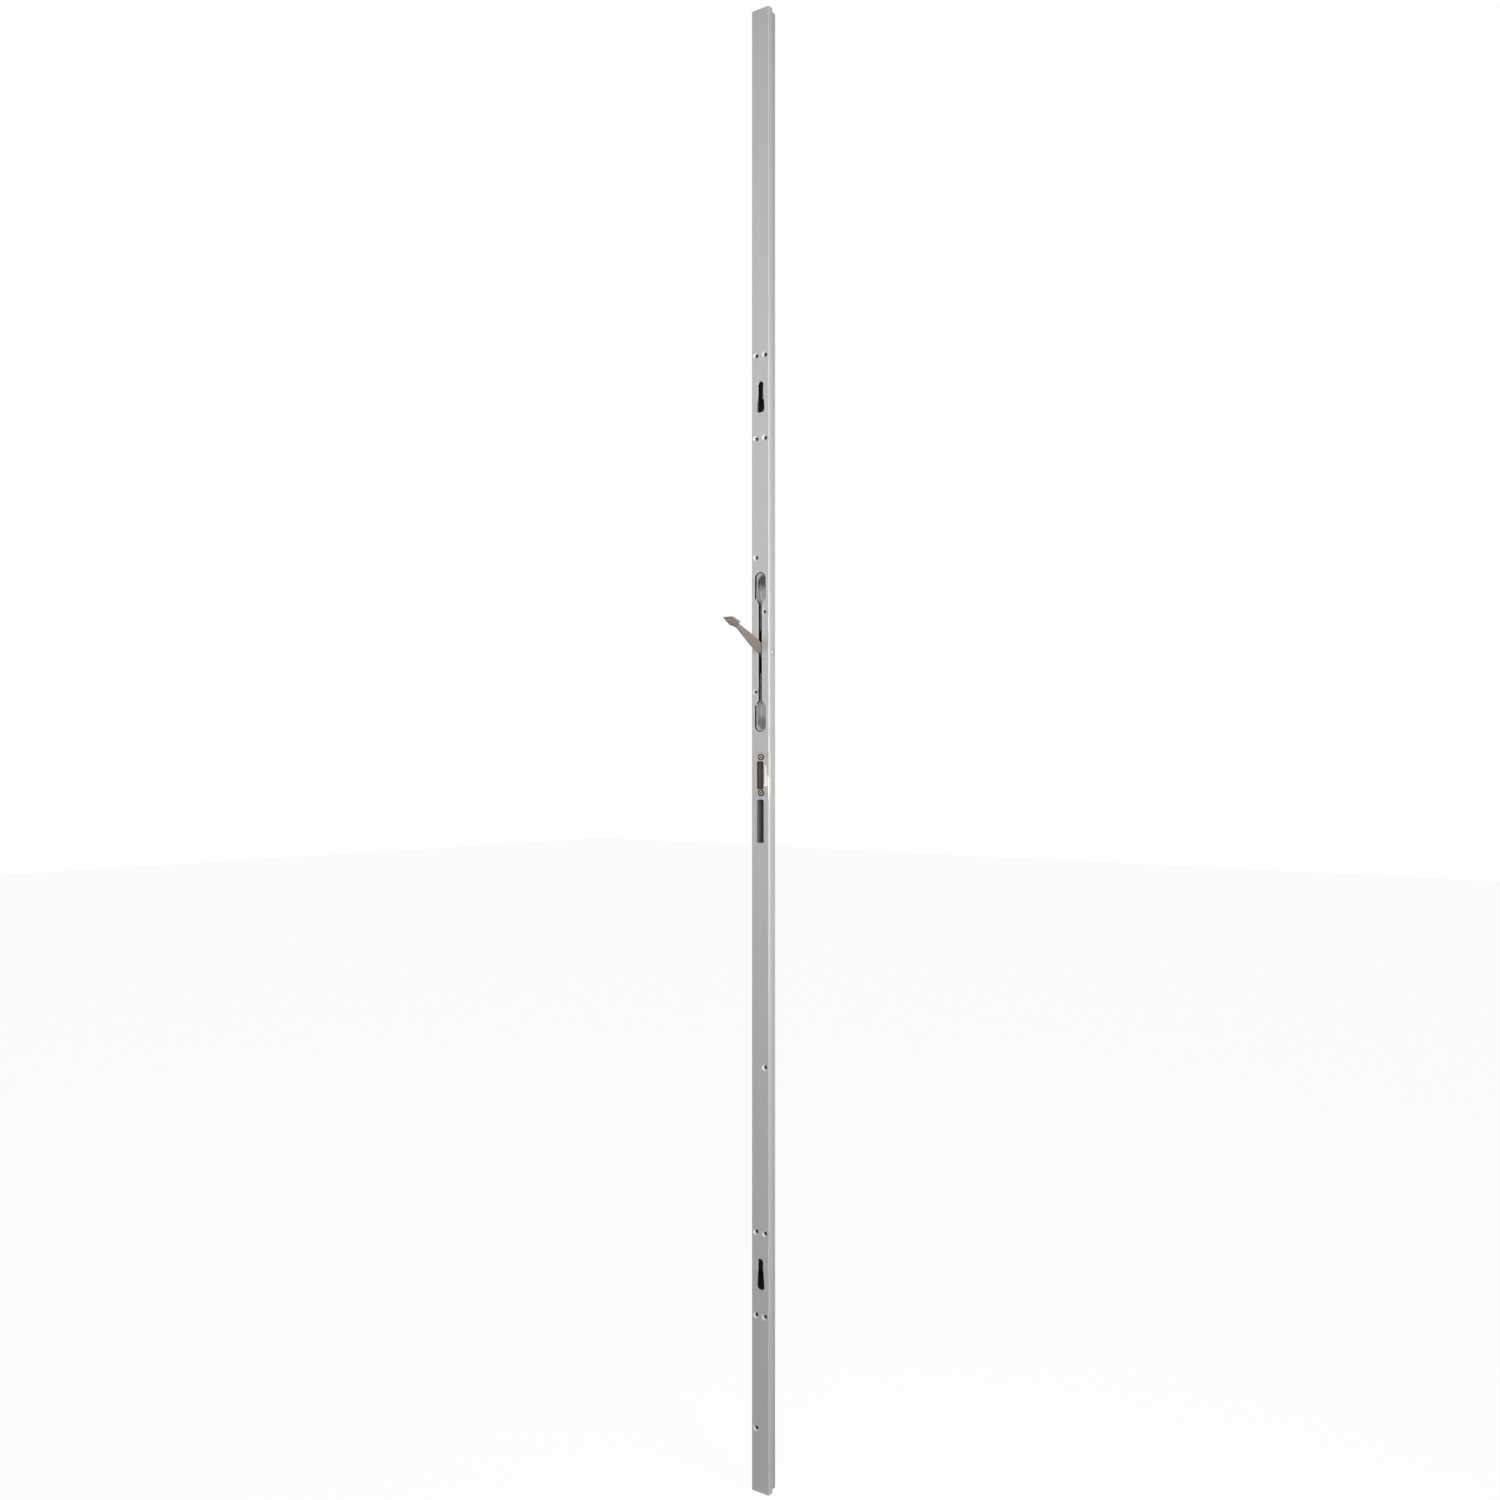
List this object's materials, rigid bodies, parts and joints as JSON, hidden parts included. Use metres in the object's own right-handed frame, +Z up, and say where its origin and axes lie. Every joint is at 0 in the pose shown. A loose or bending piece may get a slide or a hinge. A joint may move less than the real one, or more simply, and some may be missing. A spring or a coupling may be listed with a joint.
{
  "type": "multipoint door lock",
  "caption": "Long U-shaped faceplate of a double door's passive-leaf lock, with a fold-out lever driving an upper and a lower rod, and openings for hooks, latch and deadbolt.",
  "frame": {"origin": "on the back face of the rear housing, on the centre line, level with the middle of the latch opening", "axes": "+Z up along the faceplate, -Y out of the faceplate's front, +X to its right side"},
  "size_m": [0.024, 0.0724, 1.6],
  "materials": {
    "plate_steel": "silver-coated steel, satin, fine brushed grain",
    "housing_steel": "warm grey coated sheet steel, matt",
    "cast_zinc": "die-cast zinc, satin grey",
    "strike_metal": "bright warm metal, satin",
    "lever_metal": "warm grey-brown coated casting",
    "drive_steel": "zinc-plated steel",
    "screw_steel": "zinc-plated steel",
    "bronze": "sintered bronze",
    "black_plastic": "moulded plastic"
  },
  "bodies": {
    "housing": {"faceplate": "plate_steel", "channel_upper": "housing_steel", "channel_lower": "housing_steel", "gear_case": "cast_zinc", "gear_case_cover": "housing_steel", "case_screws": "screw_steel", "finger_cup_upper": "cast_zinc", "finger_cup_lower": "cast_zinc", "lever_axle": "screw_steel", "pinion_stud": "screw_steel", "hook_keeper_upper": "cast_zinc", "hook_keeper_lower": "cast_zinc", "latch_strike": "strike_metal", "strike_screws": "screw_steel", "strike_carrier": "cast_zinc", "deadbolt_pocket": "housing_steel", "rod_guides_upper": "black_plastic", "rod_guides_lower": "black_plastic", "end_plug_top": "black_plastic", "end_plug_bottom": "black_plastic"},
    "lever": {"lever": "lever_metal", "lever_bush": "bronze"},
    "lower_drive": {"rack_lower": "drive_steel", "link_lower": "drive_steel", "rod_lower": "drive_steel", "coupler_lower": "cast_zinc"},
    "upper_drive": {"rack_upper": "drive_steel", "link_upper": "drive_steel", "rod_upper": "drive_steel", "coupler_upper": "cast_zinc"},
    "pinion": {"reversing_pinion": "drive_steel"}
  },
  "joints": [
    {"name": "lower_rod_slide", "type": "slide", "parent": "housing", "child": "lower_drive", "axis": [0, 0, -1], "range_m": [-0.01173, 0.00586]},
    {"name": "lever_swing", "type": "hinge", "parent": "housing", "child": "lever", "pos_m": [0, -0.0055, 0.13304], "axis": [-1, 0, 0], "range_deg": [-120.02, 60.02]},
    {"name": "upper_rod_slide", "type": "slide", "parent": "housing", "child": "upper_drive", "axis": [0, 0, 1], "range_m": [-0.01174, 0.00587]},
    {"name": "pinion_turn", "type": "hinge", "parent": "housing", "child": "pinion", "pos_m": [0, 0.00135, 0.09654], "axis": [0, -1, 0], "range_deg": [-210.1, 105.1]}
  ],
  "couplings": [
    {"joint": "lever_swing", "follows": "lower_rod_slide", "rad_per_m": 178.57},
    {"joint": "upper_rod_slide", "follows": "lower_rod_slide", "ratio": 1},
    {"joint": "pinion_turn", "follows": "lower_rod_slide", "rad_per_m": 312.5}
  ]
}
